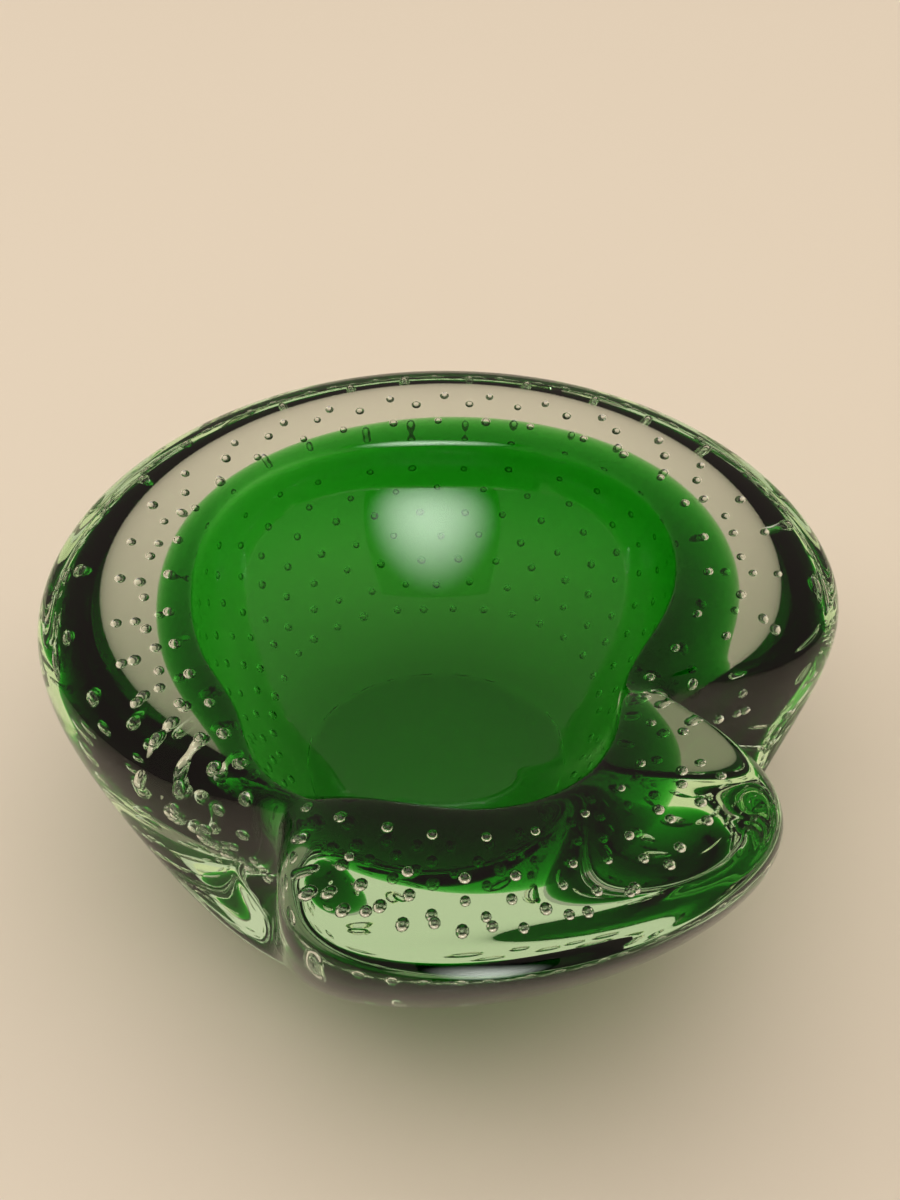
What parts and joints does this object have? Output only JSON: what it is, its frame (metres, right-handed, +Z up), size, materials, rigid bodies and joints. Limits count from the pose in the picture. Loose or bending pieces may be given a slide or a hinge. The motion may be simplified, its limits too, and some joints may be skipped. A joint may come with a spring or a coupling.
{
  "type": "pinched cased glass bowl",
  "caption": "Heavy hand-blown bowl or ashtray of clear glass over a green glass cup, with rows of trapped air bubbles and two folds pinched into its rim.",
  "frame": {"origin": "middle of the ground base, on the surface that the bowl stands on", "axes": "+Z up through the open top; the broad front lobe of the rim lies towards -Y, the left fold's crease at about 237 degrees from +X and the right fold's at about 342 degrees"},
  "size_m": [0.1644, 0.1671, 0.062],
  "materials": {
    "clear_glass": "fire polished",
    "green_glass": "fire polished",
    "air_bubble": "trapped air in glass"
  },
  "bodies": {
    "root": {"clear_casing": "clear_glass", "green_core": "green_glass", "bubble_row_01": "air_bubble", "bubble_row_02": "air_bubble", "bubble_row_03": "air_bubble", "bubble_row_04": "air_bubble", "bubble_row_05": "air_bubble", "bubble_row_06": "air_bubble", "bubble_row_07": "air_bubble", "bubble_row_08": "air_bubble", "bubble_row_09": "air_bubble", "bubble_row_10": "air_bubble"}
  },
  "joints": []
}
